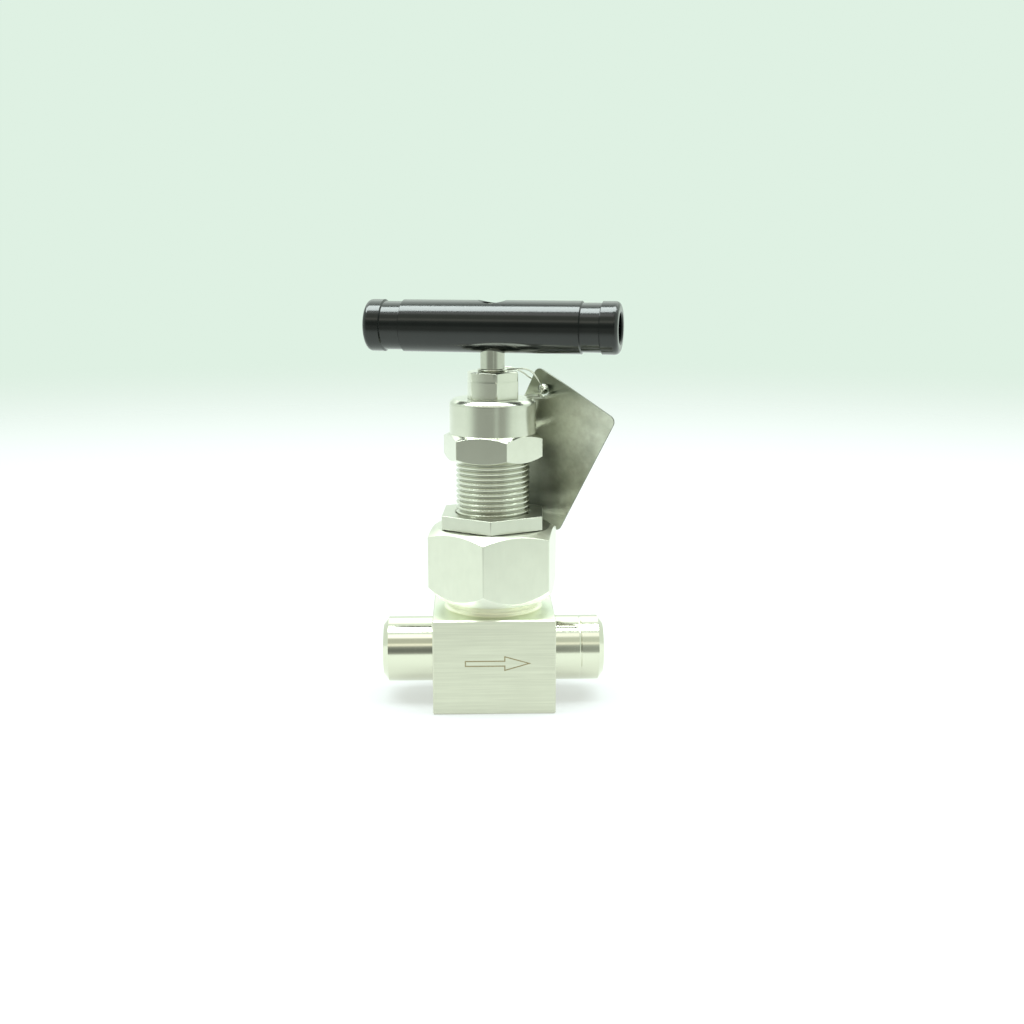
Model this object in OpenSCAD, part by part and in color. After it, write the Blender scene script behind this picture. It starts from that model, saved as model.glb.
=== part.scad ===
// Union-bonnet needle valve with a bar handle, a panel nut and a hanging tag.
// The origin is the centre of the base face. +X is the flow direction and +Z is up.
// The valve is drawn closed, with the panel nut resting on the union nut.

/* [Body] */
// Width and depth of the square body block
body_w = 34.93; // [34:0.01:36]
// Height of the body block
body_h = 27.6; // [27.2:0.1:28.2]
// Height of the flow axis above the base face
flow_z = 14.4; // [14:0.1:14.8]
// Outside diameter of the two end stubs
stub_d = 19.05; // [18:0.05:21]
// Length over both stub ends
end_to_end = 64.2; // [60:0.1:70]
// Diameter of the tube sockets
socket_d = 9.66; // [9.5:0.01:10.5]
// Depth of the tube sockets
socket_depth = 9.5; // [8:0.1:10]
// Diameter of the seat bore
seat_d = 6.4; // [6:0.1:6.8]

/* [Union nut and panel nut] */
// Across-flats size of the union nut
union_af = 34.93; // [33.5:0.01:36]
// Across-flats size of the panel nut
panel_af = 28.58; // [26:0.01:30]
// Thickness of the panel nut
panel_t = 4.1; // [3:0.1:5]

/* [Bonnet and cap] */
// Major diameter of the bonnet's panel thread
bonnet_thread_d = 21.2; // [20.6:0.1:21.6]
// Pitch of the bonnet's panel thread
bonnet_pitch = 1.5; // [1.25:0.05:1.75]
// Across-flats size of the cap's hexagon
cap_af = 25.4; // [25:0.1:28]
// Diameter of the cap's round part
cap_d = 24.7; // [24:0.1:25]
// Across-flats size of the packing bolt
bolt_af = 13.8; // [13.5:0.1:14.5]

/* [Stem and handle] */
// Diameter of the upper stem
stem_d = 7; // [6.8:0.05:7.1]
// Diameter of the lower stem
lower_stem_d = 6; // [5.8:0.05:6.2]
// Diameter of the bar handle
bar_d = 14.8; // [14:0.1:16]
// Length of the bar handle
bar_l = 73; // [70:0.5:90]
// Direction of the bar handle in plan
bar_yaw = -14.8; // [-90:0.1:90]
// Diameter of the bores in the bar's ends
bar_bore_d = 8.7; // [8:0.1:9]

/* [Tag] */
// Width of the tag
tag_w = 28.6; // [26:0.1:30]
// Length of the tag
tag_l = 42.5; // [40:0.1:44]
// Thickness of the tag
tag_t = 0.5; // [0.4:0.05:0.6]
// Diameter of the tag's hole
tag_hole_d = 3.4; // [3.2:0.1:3.6]
// Diameter of the tag's wire
wire_d = 0.55; // [0.4:0.05:0.6]

/* [Hidden] */

steel = [0.78, 0.79, 0.76];
turned_steel = [0.70, 0.71, 0.68];
tag_steel = [0.52, 0.54, 0.50];
black = [0.06, 0.06, 0.065];
white_plastic = [0.93, 0.93, 0.90];
seal_grey = [0.55, 0.55, 0.58];

$fn = 96;
hex = 6;
over = 1;         // how far a cutting shape runs past what it cuts
slip = 0.02;      // gap between parts that are screwed or pressed together
run_fit = 0.04;   // radial clearance of a moving shaft in its bore

function hex_r(across_flats) = across_flats / 2 / cos(30);

// Heights of the fixed parts, from the base up
seat_z = 16;
seat_chamfer = 0.8;
chamber_r = 6.9;
neck_r = 14.2;
neck_top = 38.5;
neck_pitch = 1.5;
thread_depth = 0.85;
union_bottom = 30.7;
union_top = 51.5;
union_thread_top = 39.8;
flange_r = 12.9;
seal_t = 0.5;
flange_bottom = neck_top + seal_t;
flange_top = 44.5;
shank_thread_bottom = 46.6;
cap_bottom = 70.9;
cap_shoulder = 78.5;
cap_top = 88.4;
bonnet_top = 78.9;
panel_bottom = union_top + 0.05;
bolt_top = 96.1;
bar_z = 108.6;

// Packing chamber and the parts stacked in it
packing_r = 5.8;
packing_bottom = 61.5;
support_h = 1.6;
ring_h = 2.2;
vee_h = 0.8;
ring_gap = 0.02;
packing_top = packing_bottom + support_h + 3 * (ring_h + ring_gap);
gland_top = 76.9;
nose_bottom = gland_top + 0.05;
bolt_thread_r = 7;
bolt_thread_bottom = bonnet_top + bonnet_pitch;
drive_bottom = 83;
drive_top = 95.2;
coupling_bore_r = 3.6;
drive_bore_r = 4.18;

// Stem parts
stem_r = stem_d / 2;
lower_r = lower_stem_d / 2;
stem_bore_r = lower_r + run_fit;
tip_r = 3.8;
collar_r = 4.6;
collar_bottom = 19.5;
collar_top = 21.5;
nose_z = 26.8;
pin_r = 0.8;
pin_z = 42;
pin_reach = 2.3;
travel = 5.08;
lower_top = 76;
neck_stem_r = 1.5;
button_r = 2.3;
button_bottom = 78.6;
button_top = 79.9;
joint_gap = 0.1;
upper_bottom = 77.2;
ball_r = 0.8;
ball_z = 80.35;
shank_r = 1.55;
shank_top = 23.9;
drive_r = 4.1;
stem_top = 115;

// Bar handle and its set screw
bar_round = 1.5;
groove_in = 25.7;
groove_out = 31.6;
groove_slope = 0.3;
groove_depth = 0.5;
screw_r = 2.4;
screw_point_r = 1.2;
screw_tip = 3;

// Tag and wire, in a frame whose +Y points out through the plate
tag_azimuth = 56.2;
tag_lean = 8.53;
tag_slope = 31;
tag_corner_r = 2;
hole_from_side = 4.75;
hole_from_end = 5.3;
pivot = [8.35, 14.53, 91.5];
pivot_gap = 0.05;
wire_ring_r = 4.05;
wire_z = bolt_top + wire_d / 2 + 0.12;

// A solid turned about +Z from its half outline
module turned(points) {
    rotate_extrude() polygon(points);
}

// The half outline of a row of V threads between two heights, from bottom to top
function threads(root_r, crest_r, bottom, top, pitch) = [
    for (k = [0 : floor((top - bottom) / pitch) - 1])
        each [[root_r, bottom + k * pitch], [crest_r, bottom + (k + 0.5) * pitch]],
    [root_r, bottom + floor((top - bottom) / pitch) * pitch]
];

// A threaded rod from one height to another. A larger grow makes the matching tapped hole
module thread_rod(major_r, depth, bottom, top, pitch, grow = 0) {
    count = floor((top - bottom) / pitch);
    root = major_r - depth + grow;
    turned(concat(
        [[0, bottom]],
        threads(root, major_r + grow, bottom, top, pitch),
        [[root, bottom + count * pitch], [root, top], [0, top]]
    ));
}

module hexagon(across_flats, bottom, top, turn) {
    rotate([0, 0, turn]) translate([0, 0, bottom])
        cylinder(h = top - bottom, r = hex_r(across_flats), $fn = hex);
}

// A drilled or tapped hole along Z
module hole(r, bottom, top) {
    translate([0, 0, bottom]) cylinder(h = top - bottom, r = r);
}

// A rod or drilling from one point of the XZ plane to another
module rod_between(from, to, r) {
    run = to[0] - from[0];
    rise = to[1] - from[1];
    translate([from[0], 0, from[1]]) rotate([0, atan2(run, rise), 0])
        cylinder(h = norm([run, rise]), r = r);
}

module clipped_square(width, height, clip) {
    x = width / 2;
    y = height / 2;
    polygon([
        [clip - x, -y], [x - clip, -y], [x, clip - y], [x, y - clip],
        [x - clip, y], [clip - x, y], [-x, y - clip], [-x, clip - y]
    ]);
}

// The body block, with every edge broken
module block() {
    clip = 0.35;
    translate([0, 0, body_h / 2]) intersection() {
        linear_extrude(body_h, center = true) clipped_square(body_w, body_w, clip);
        rotate([90, 0, 0]) linear_extrude(body_w, center = true)
            clipped_square(body_w, body_h, clip);
        rotate([90, 0, 90]) linear_extrude(body_w, center = true)
            clipped_square(body_w, body_h, clip);
    }
}

// Both end stubs as one turned bar through the block
module stubs() {
    half = end_to_end / 2;
    r = stub_d / 2;
    chamfer_l = 1.5;
    chamfer_r = 1.9;
    translate([0, 0, flow_z]) rotate([0, 90, 0]) turned([
        [0, -half], [r - chamfer_r, -half], [r, chamfer_l - half],
        [r, half - chamfer_l], [r - chamfer_r, half], [0, half]
    ]);
}

module neck() {
    thread_rod(neck_r, thread_depth, body_h - over, neck_top, neck_pitch);
}

// Socket, its entry chamfer and the sloping passage to one side of the seat
module flow_way(side, inner_end) {
    half = end_to_end / 2;
    entry = 0.4;
    passage_r = 2.4;
    translate([side * (half - socket_depth), 0, flow_z]) rotate([0, side * 90, 0])
        turned([
            [0, 0], [socket_d / 2, 0], [socket_d / 2, socket_depth - entry],
            [socket_d / 2 + entry + over, socket_depth + over], [0, socket_depth + over]
        ]);
    rod_between([side * (half - socket_depth + 0.5), flow_z], inner_end, passage_r);
}

module body() {
    seat_floor = 8;
    mouth = 0.6;
    inlet_end = [0, 9.6];
    outlet_end = [5.5, 19.6];
    seat_r = seat_d / 2;
    color(steel) difference() {
        union() {
            block();
            stubs();
            neck();
        }
        turned([
            [0, seat_floor], [seat_r, seat_floor], [seat_r, seat_z - seat_chamfer],
            [seat_r + seat_chamfer, seat_z], [chamber_r, seat_z],
            [chamber_r, neck_top - mouth], [chamber_r + mouth, neck_top],
            [chamber_r + mouth, neck_top + over], [0, neck_top + over]
        ]);
        flow_way(-1, inlet_end);
        flow_way(1, outlet_end);
    }
}

module union_nut() {
    corner = -9;
    bottom_face_r = 16.3;
    top_face_r = 16.55;
    bottom_rise = 4.25;
    top_drop = 2.2;
    blank_r = hex_r(union_af) + 0.15;
    shank_hole_r = 10.9;
    color(steel) difference() {
        intersection() {
            hexagon(union_af, union_bottom, union_top, corner - 90);
            turned([
                [0, union_bottom], [bottom_face_r, union_bottom],
                [blank_r, union_bottom + bottom_rise], [blank_r, union_top - top_drop],
                [top_face_r, union_top], [0, union_top]
            ]);
        }
        thread_rod(neck_r, thread_depth, body_h - over, union_thread_top, neck_pitch, 0.12);
        hole(flange_r + 0.15, neck_top - 0.4, flange_top + slip);
        hole(shank_hole_r, flange_top, union_top + over);
    }
}

module bonnet() {
    nose_r = chamber_r - 0.04;
    chamfer = 0.6;
    color(turned_steel) difference() {
        union() {
            turned([
                [0, nose_z], [nose_r - chamfer, nose_z], [nose_r, nose_z + chamfer],
                [nose_r, flange_bottom], [flange_r - chamfer, flange_bottom],
                [flange_r, flange_bottom + chamfer], [flange_r, flange_top - chamfer],
                [flange_r - chamfer, flange_top], [bonnet_thread_d / 2, flange_top],
                [bonnet_thread_d / 2, shank_thread_bottom], [0, shank_thread_bottom]
            ]);
            thread_rod(
                bonnet_thread_d / 2, thread_depth, shank_thread_bottom - 0.2, bonnet_top,
                bonnet_pitch
            );
        }
        hole(stem_bore_r, nose_z - over, packing_bottom + over);
        hole(packing_r, packing_bottom, bonnet_top + over);
        translate([0, 0, pin_z]) rotate([0, 90, 0])
            cylinder(h = flange_r + over, r = pin_r + slip);
    }
}

module bonnet_seal() {
    color(seal_grey) difference() {
        hole(flange_r - 0.5, neck_top + 0.01, flange_bottom - 0.01);
        hole(chamber_r + 0.7, neck_top - over, flange_bottom + over);
    }
}

module anti_rotation_pin() {
    color(turned_steel) translate([0, 0, pin_z]) rotate([0, 90, 0])
        translate([0, 0, pin_reach]) cylinder(h = flange_r - 0.4 - pin_reach, r = pin_r);
}

module bonnet_cap() {
    corner = 14.3;
    hex_face_r = 12.5;
    hex_rise = 1.34;
    rim_r = 11.2;
    rim_drop = 1.3;
    blank_r = hex_r(cap_af) + 0.15;
    color(turned_steel) difference() {
        union() {
            intersection() {
                hexagon(cap_af, cap_bottom, cap_shoulder, corner - 90);
                turned([
                    [0, cap_bottom], [hex_face_r, cap_bottom],
                    [blank_r, cap_bottom + hex_rise], [blank_r, cap_shoulder - hex_rise],
                    [hex_face_r, cap_shoulder], [0, cap_shoulder]
                ]);
            }
            turned([
                [0, cap_shoulder - over], [cap_d / 2, cap_shoulder - over],
                [cap_d / 2, cap_top - rim_drop], [rim_r, cap_top], [0, cap_top]
            ]);
        }
        thread_rod(
            bonnet_thread_d / 2, thread_depth, shank_thread_bottom - 0.2,
            bonnet_top + 0.1, bonnet_pitch, 0.12
        );
        thread_rod(
            bolt_thread_r, thread_depth, bonnet_top, cap_top + 0.6, bonnet_pitch, 0.12
        );
    }
}

// A V packing ring: its top and bottom faces are cones, so that the rings nest
module vee_ring(bottom, top, flat_bottom, flat_top) {
    inner = stem_bore_r;
    outer = packing_r - 0.05;
    middle = (inner + outer) / 2;
    turned([
        [inner, bottom], [middle, bottom + (flat_bottom ? 0 : vee_h)], [outer, bottom],
        [outer, top], [middle, top + (flat_top ? 0 : vee_h)], [inner, top]
    ]);
}

module packing_support() {
    color(turned_steel)
        vee_ring(packing_bottom + slip, packing_bottom + support_h, true, false);
}

module packing_ring(index) {
    bottom = packing_bottom + support_h + ring_gap + index * (ring_h + ring_gap);
    color(white_plastic) vee_ring(bottom, bottom + ring_h, false, false);
}

module packing_ring_lower() {
    packing_ring(0);
}

module packing_ring_middle() {
    packing_ring(1);
}

module packing_ring_upper() {
    packing_ring(2);
}

module gland() {
    color(turned_steel) vee_ring(packing_top + ring_gap, gland_top, false, true);
}

module packing_bolt() {
    corner = 7.3;
    corner_r = 7.75;
    nose_r = 5.7;
    groove_z = 93.45;
    groove_h = 0.3;
    groove_r = 7.25;
    upper_r = corner_r - 0.12;
    top_chamfer = 0.35;
    top_face_r = 6.85;
    bottom_face = cap_top + slip;
    color(steel) difference() {
        union() {
            intersection() {
                hexagon(bolt_af, bottom_face, bolt_top, corner - 90);
                turned([
                    [0, bottom_face], [corner_r, bottom_face],
                    [corner_r, groove_z - groove_h], [groove_r, groove_z],
                    [upper_r, groove_z + groove_h], [upper_r, bolt_top - top_chamfer],
                    [top_face_r, bolt_top], [0, bolt_top]
                ]);
            }
            hole(nose_r, nose_bottom, bolt_thread_bottom + 0.2);
            thread_rod(
                bolt_thread_r, thread_depth, bolt_thread_bottom, cap_top + 0.6, bonnet_pitch
            );
        }
        hole(coupling_bore_r, nose_bottom - over, drive_bottom + over);
        hole(drive_bore_r, drive_bottom, drive_top);
        hole(stem_r + 0.06, drive_top - over, bolt_top + over);
    }
}

module panel_nut() {
    corner = -3.2;
    color(steel) difference() {
        hexagon(panel_af, panel_bottom, panel_bottom + panel_t, corner - 90);
        hole(bonnet_thread_d / 2 + 0.06, panel_bottom - over, panel_bottom + panel_t + over);
    }
}

module lower_stem() {
    key_w = 2 * pin_r + 0.1;
    key_floor = pin_reach - 0.1;
    key_spare = 0.05;
    dimple_floor = 79.5;
    color(turned_steel) difference() {
        turned([
            [0, collar_bottom], [collar_r, collar_bottom], [collar_r, collar_top],
            [lower_r, collar_top + 0.2], [lower_r, lower_top - 0.4],
            [lower_r - 0.4, lower_top], [neck_stem_r, lower_top],
            [neck_stem_r, button_bottom], [button_r, button_bottom],
            [button_r, button_top], [0, button_top]
        ]);
        hole(shank_r + slip, collar_bottom - over, shank_top + 0.1);
        translate([key_floor, -key_w / 2, pin_z - pin_r - travel - key_spare])
            cube([lower_r, key_w, 2 * pin_r + travel + 2 * key_spare]);
        hole(ball_r + run_fit, dimple_floor, button_top + over);
    }
}

module stem_tip() {
    needle_r = 1.5;
    needle_bottom = 9.8;
    seat_gap = 0.05;
    cone_r = seat_d / 2 - 0.1;
    cone_z = seat_z - seat_chamfer - seat_gap;
    color(white_plastic) turned([
        [0, needle_bottom], [needle_r, needle_bottom], [cone_r, cone_z],
        [tip_r, cone_z + tip_r - cone_r], [tip_r, collar_bottom - seat_gap],
        [shank_r, collar_bottom - seat_gap], [shank_r, shank_top], [0, shank_top]
    ]);
}

module thrust_ball() {
    color(turned_steel) translate([0, 0, ball_z]) sphere(r = ball_r);
}

// The T slot in the upper stem's foot, which holds the lower stem's button
module tee_slot() {
    neck_w = 2 * (neck_stem_r + joint_gap);
    button_w = 2 * (button_r + joint_gap);
    neck_h = button_bottom - joint_gap - upper_bottom;
    button_h = button_top - button_bottom + 2 * joint_gap;
    button_floor = upper_bottom + neck_h;
    hole(neck_w / 2, upper_bottom - over, button_floor + over);
    hole(button_w / 2, button_floor, button_floor + button_h);
    translate([0, -neck_w / 2, upper_bottom - over])
        cube([stem_d, neck_w, neck_h + 2 * over]);
    translate([0, -button_w / 2, button_floor]) cube([stem_d, button_w, button_h]);
    hole(ball_r + run_fit, button_top, ball_z + ball_r + run_fit);
}

module upper_stem() {
    thread_bottom = drive_bottom + 0.1;
    thread_top = drive_top - travel - 0.1;
    thread_pitch = 1.27;
    root = stem_r - 0.05;
    chamfer = 0.4;
    color(turned_steel) difference() {
        turned(concat(
            [[0, upper_bottom], [stem_r, upper_bottom], [stem_r, thread_bottom]],
            threads(root, drive_r, thread_bottom, thread_top, thread_pitch),
            [
                [stem_r, thread_top], [stem_r, stem_top - chamfer],
                [stem_r - chamfer, stem_top], [0, stem_top]
            ]
        ));
        tee_slot();
        // Dimple for the set screw's point
        translate([0, 0, bar_z]) rotate([0, 90, bar_yaw])
            translate([0, 0, screw_tip - slip]) cylinder(h = stem_r, r = screw_point_r + slip);
    }
}

// Half outline of the bar, from one end face to the other
function bar_half(side) = [
    for (a = [0 : 15 : 90])
        [bar_d / 2 - bar_round + bar_round * sin(a),
         side * (bar_l / 2 - bar_round + bar_round * cos(a))],
    [bar_d / 2, side * groove_out],
    [bar_d / 2 - groove_depth, side * (groove_out - groove_slope)],
    [bar_d / 2 - groove_depth, side * (groove_in + groove_slope)],
    [bar_d / 2, side * groove_in]
];

function reversed(list) = [for (i = [len(list) - 1 : -1 : 0]) list[i]];

module bar_handle() {
    bore_depth = 14;
    bore_chamfer = 0.4;
    bore_r = bar_bore_d / 2;
    bore_floor = bar_l / 2 - bore_depth;
    sink_h = 0.65;
    sink_r = 4.2;
    color(black) difference() {
        translate([0, 0, bar_z]) rotate([0, 90, bar_yaw]) difference() {
            turned(concat(
                [[0, -bar_l / 2]], bar_half(-1), reversed(bar_half(1)), [[0, bar_l / 2]]
            ));
            for (side = [-1, 1]) mirror([0, 0, side < 0 ? 1 : 0]) turned([
                [0, bore_floor], [bore_r, bore_floor], [bore_r, bar_l / 2 - bore_chamfer],
                [bore_r + bore_chamfer + over, bar_l / 2 + over], [0, bar_l / 2 + over]
            ]);
            hole(screw_r + slip, 0, bore_floor + over);
        }
        hole(stem_r + 0.03, bar_z - bar_d, bar_z + bar_d);
        turned([
            [0, bar_z + bar_d / 2 - sink_h], [stem_r, bar_z + bar_d / 2 - sink_h],
            [sink_r, bar_z + bar_d / 2], [sink_r, bar_z + bar_d], [0, bar_z + bar_d]
        ]);
    }
}

module handle_set_screw() {
    point_l = 1.4;
    socket_r = 1.45;
    socket_depth = 2.6;
    chamfer = 0.3;
    screw_end = screw_tip + 9;
    color(turned_steel) translate([0, 0, bar_z]) rotate([0, 90, bar_yaw]) difference() {
        turned([
            [0, screw_tip], [screw_point_r, screw_tip],
            [screw_point_r, screw_tip + point_l], [screw_r, screw_tip + point_l + chamfer],
            [screw_r, screw_end - chamfer], [screw_r - chamfer, screw_end], [0, screw_end]
        ]);
        translate([0, 0, screw_end - socket_depth])
            cylinder(h = socket_depth + over, r = socket_r, $fn = hex);
    }
}

// Closed smooth path through points, for the wire
function smooth(a, b, c, d, t) = 0.5 * (
    2 * b + (c - a) * t + (2 * a - 5 * b + 4 * c - d) * t * t
    + (3 * b - a - 3 * c + d) * t * t * t
);

function closed_path(points, steps) = [
    for (i = [0 : len(points) - 1])
        for (k = [0 : steps - 1])
            smooth(
                points[(i + len(points) - 1) % len(points)], points[i],
                points[(i + 1) % len(points)], points[(i + 2) % len(points)], k / steps
            )
];

function unit(v) = v / norm(v);

function tube_ring(before, at, after, r, sides) =
    let (
        along = unit(after - before),
        across = unit(cross(along, [0, 0, 1])),
        rise = cross(across, along)
    )
    [for (k = [0 : sides - 1])
        at + r * (cos(360 * k / sides) * across + sin(360 * k / sides) * rise)];

// A closed tube swept along a closed path
module closed_tube(path, r, sides) {
    count = len(path);
    points = [
        for (i = [0 : count - 1])
            each tube_ring(
                path[(i + count - 1) % count], path[i], path[(i + 1) % count], r, sides
            )
    ];
    faces = [
        for (i = [0 : count - 1])
            for (k = [0 : sides - 1])
                let (
                    j = (i + 1) % count,
                    m = (k + 1) % sides
                )
                [i * sides + k, i * sides + m, j * sides + m, j * sides + k]
    ];
    polyhedron(points, faces, convexity = 6);
}

// The wire goes round the stem on top of the packing bolt, out to the tag, through its
// hole and back round the tag's edge
module tag_wire() {
    ring_from = 24;
    ring_to = -236;
    ring_step = -20;
    steps = 3;
    sides = 8;
    lean_run = 0.9 * sin(tag_lean);
    ring = [
        for (a = [ring_from : ring_step : ring_to])
            [wire_ring_r * cos(a), wire_ring_r * sin(a), wire_z]
    ];
    out_strand = [
        [-0.8, 6.2, 96.6], [0.8, 9.4, 96.3], [2.2, 12.3, 95.0], [3.2, 14.7, 93.4],
        [5.1, 16.2, 92.2], [7.2, 16.1, 91.8]
    ];
    through = [
        pivot + [0, 0.9, lean_run], pivot, pivot - [0, 0.9, lean_run]
    ];
    back_strand = [
        [8.2, 12.4, 92.3], [8.0, 11.0, 93.8], [7.6, 9.0, 95.5], [6.9, 6.6, 96.5],
        [5.7, 4.2, 96.65]
    ];
    color(steel) rotate([0, 0, tag_azimuth - 90])
        closed_tube(
            closed_path(concat(ring, out_strand, through, back_strand), steps),
            wire_d / 2, sides
        );
}

module tag_outline() {
    difference() {
        translate([-hole_from_side, hole_from_end - tag_l]) {
            translate([tag_corner_r, 0]) square([tag_w - 2 * tag_corner_r, tag_l]);
            translate([0, tag_corner_r]) square([tag_w, tag_l - 2 * tag_corner_r]);
            for (x = [tag_corner_r, tag_w - tag_corner_r])
                for (y = [tag_corner_r, tag_l - tag_corner_r])
                    translate([x, y]) circle(r = tag_corner_r);
        }
        circle(d = tag_hole_d);
    }
}

// The tag hangs on the wire by the top of its hole and leans on nothing
module tag_plate() {
    hang = tag_hole_d / 2 - wire_d / 2 - pivot_gap;
    color(tag_steel) rotate([0, 0, tag_azimuth - 90]) translate(pivot)
        rotate([90 + tag_lean, 0, 0]) translate([0, -hang, -tag_t / 2])
            rotate([0, 0, -tag_slope]) linear_extrude(tag_t) tag_outline();
}

body();
union_nut();
bonnet();
bonnet_seal();
anti_rotation_pin();
bonnet_cap();
packing_support();
packing_ring_lower();
packing_ring_middle();
packing_ring_upper();
gland();
packing_bolt();
panel_nut();
lower_stem();
stem_tip();
thrust_ball();
upper_stem();
bar_handle();
handle_set_screw();
tag_wire();
tag_plate();
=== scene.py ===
import math

import bmesh
import bpy
from mathutils import Matrix, Vector


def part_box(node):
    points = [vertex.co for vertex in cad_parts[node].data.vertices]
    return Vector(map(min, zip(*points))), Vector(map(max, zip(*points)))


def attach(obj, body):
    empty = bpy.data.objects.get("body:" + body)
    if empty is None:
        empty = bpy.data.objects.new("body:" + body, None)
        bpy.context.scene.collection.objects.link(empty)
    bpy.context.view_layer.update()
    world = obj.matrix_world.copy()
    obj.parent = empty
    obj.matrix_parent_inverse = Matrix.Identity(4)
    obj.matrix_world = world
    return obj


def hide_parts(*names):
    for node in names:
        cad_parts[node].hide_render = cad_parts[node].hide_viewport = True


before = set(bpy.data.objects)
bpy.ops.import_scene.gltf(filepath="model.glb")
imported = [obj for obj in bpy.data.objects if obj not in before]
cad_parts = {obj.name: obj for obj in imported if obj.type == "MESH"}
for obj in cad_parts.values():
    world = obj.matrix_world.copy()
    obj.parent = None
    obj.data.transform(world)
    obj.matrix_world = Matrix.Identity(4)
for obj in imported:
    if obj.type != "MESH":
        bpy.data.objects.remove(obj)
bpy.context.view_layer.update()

# Sizes are in millimetres, except those of the floor and the light, which are in metres.
MM = 0.001
PI = math.pi
SIXTH = PI / 3
SHARP = math.radians(32)
FRONT = -PI / 2


def low_high(node):
    """Lowest and highest Z of a CAD node, in millimetres."""
    low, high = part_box(node)
    return low.z / MM, high.z / MM


# ---------------------------------------------------------------- camera

FOCAL_LENGTH, SENSOR_WIDTH = 45.7, 36
CAMERA_PLACE = Vector((-5.87, -369.6, 129.1))
CAMERA_AIM = Vector((0.0302, 0.9803, -0.1959))

camera_data = bpy.data.cameras.new("camera")
camera_data.lens = FOCAL_LENGTH
camera_data.sensor_width = SENSOR_WIDTH
camera = bpy.data.objects.new("camera", camera_data)
camera.location = CAMERA_PLACE * MM
camera.rotation_mode = "QUATERNION"
camera.rotation_quaternion = CAMERA_AIM.to_track_quat("-Z", "Y")
bpy.context.scene.collection.objects.link(camera)
bpy.context.scene.camera = camera

# ---------------------------------------------------------------- meshes


def add_mesh(name, points, faces, sharp=SHARP):
    """A mesh object from points in millimetres, closed up and facing outwards.
    It is smooth but for edges that turn by more than the angle sharp."""
    merge_within, no_length = 1e-4, 1e-5
    mesh = bpy.data.meshes.new(name)
    mesh.from_pydata([Vector(p) * MM for p in points], [], faces)
    work = bmesh.new()
    work.from_mesh(mesh)
    bmesh.ops.remove_doubles(work, verts=work.verts, dist=merge_within * MM)
    bmesh.ops.dissolve_degenerate(work, edges=work.edges, dist=no_length * MM)
    bmesh.ops.recalc_face_normals(work, faces=work.faces)
    work.to_mesh(mesh)
    work.free()
    mesh.shade_smooth()
    mesh.set_sharp_from_angle(angle=sharp)
    piece = bpy.data.objects.new(name, mesh)
    bpy.context.scene.collection.objects.link(piece)
    normals = piece.modifiers.new("flat_faces_stay_flat", "WEIGHTED_NORMAL")
    normals.keep_sharp = True
    return piece


def corner_arc(before, corner, after, radius, steps):
    """Points that round one corner of an outline. The rounding takes at most most_of_side of a side."""
    tiny, nearly_straight, most_of_side = 1e-6, PI / 2 - 1e-3, 0.45
    if radius == 0:
        return [corner]
    back = before - corner
    ahead = after - corner
    back_length = back.length
    ahead_length = ahead.length
    if min(back_length, ahead_length) < tiny:
        return [corner] * (steps + 1)
    back /= back_length
    ahead /= ahead_length
    half = back.angle(ahead) / 2
    if half > nearly_straight:
        return [corner] * (steps + 1)
    longest = most_of_side * min(back_length, ahead_length)
    reach = min(radius / math.tan(half), longest)
    true_radius = reach * math.tan(half)
    centre = corner + (back + ahead).normalized() * (true_radius / math.sin(half))
    start = corner + back * reach - centre
    end = corner + ahead * reach - centre
    turn = start.angle_signed(end)
    spun = []
    for k in range(steps + 1):
        spin = Matrix.Rotation(-turn * k / steps, 2)
        spun.append(centre + spin @ start)
    return spun


def rounded(outline, steps=4):
    """A closed outline of (radius, height, rounding) corners, with each corner rounded."""
    corners = [Vector((r, z)) for r, z, _ in outline]
    count = len(corners)
    points = []
    for k in range(count):
        points += corner_arc(
            corners[k - 1], corners[k], corners[(k + 1) % count], outline[k][2], steps
        )
    return points


def around(name, azimuths, column):
    """A closed solid round the Z axis, from one closed outline at each azimuth."""
    outlines = [column(a) for a in azimuths]
    rows = len(outlines[0])
    points = []
    for azimuth, outline in zip(azimuths, outlines):
        points += [(p.x * math.cos(azimuth), p.x * math.sin(azimuth), p.y) for p in outline]
    faces = []
    for i in range(len(azimuths)):
        j = (i + 1) % len(azimuths)
        for k in range(rows):
            m = (k + 1) % rows
            faces.append((i * rows + k, j * rows + k, j * rows + m, i * rows + m))
    return add_mesh(name, points, faces)


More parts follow.
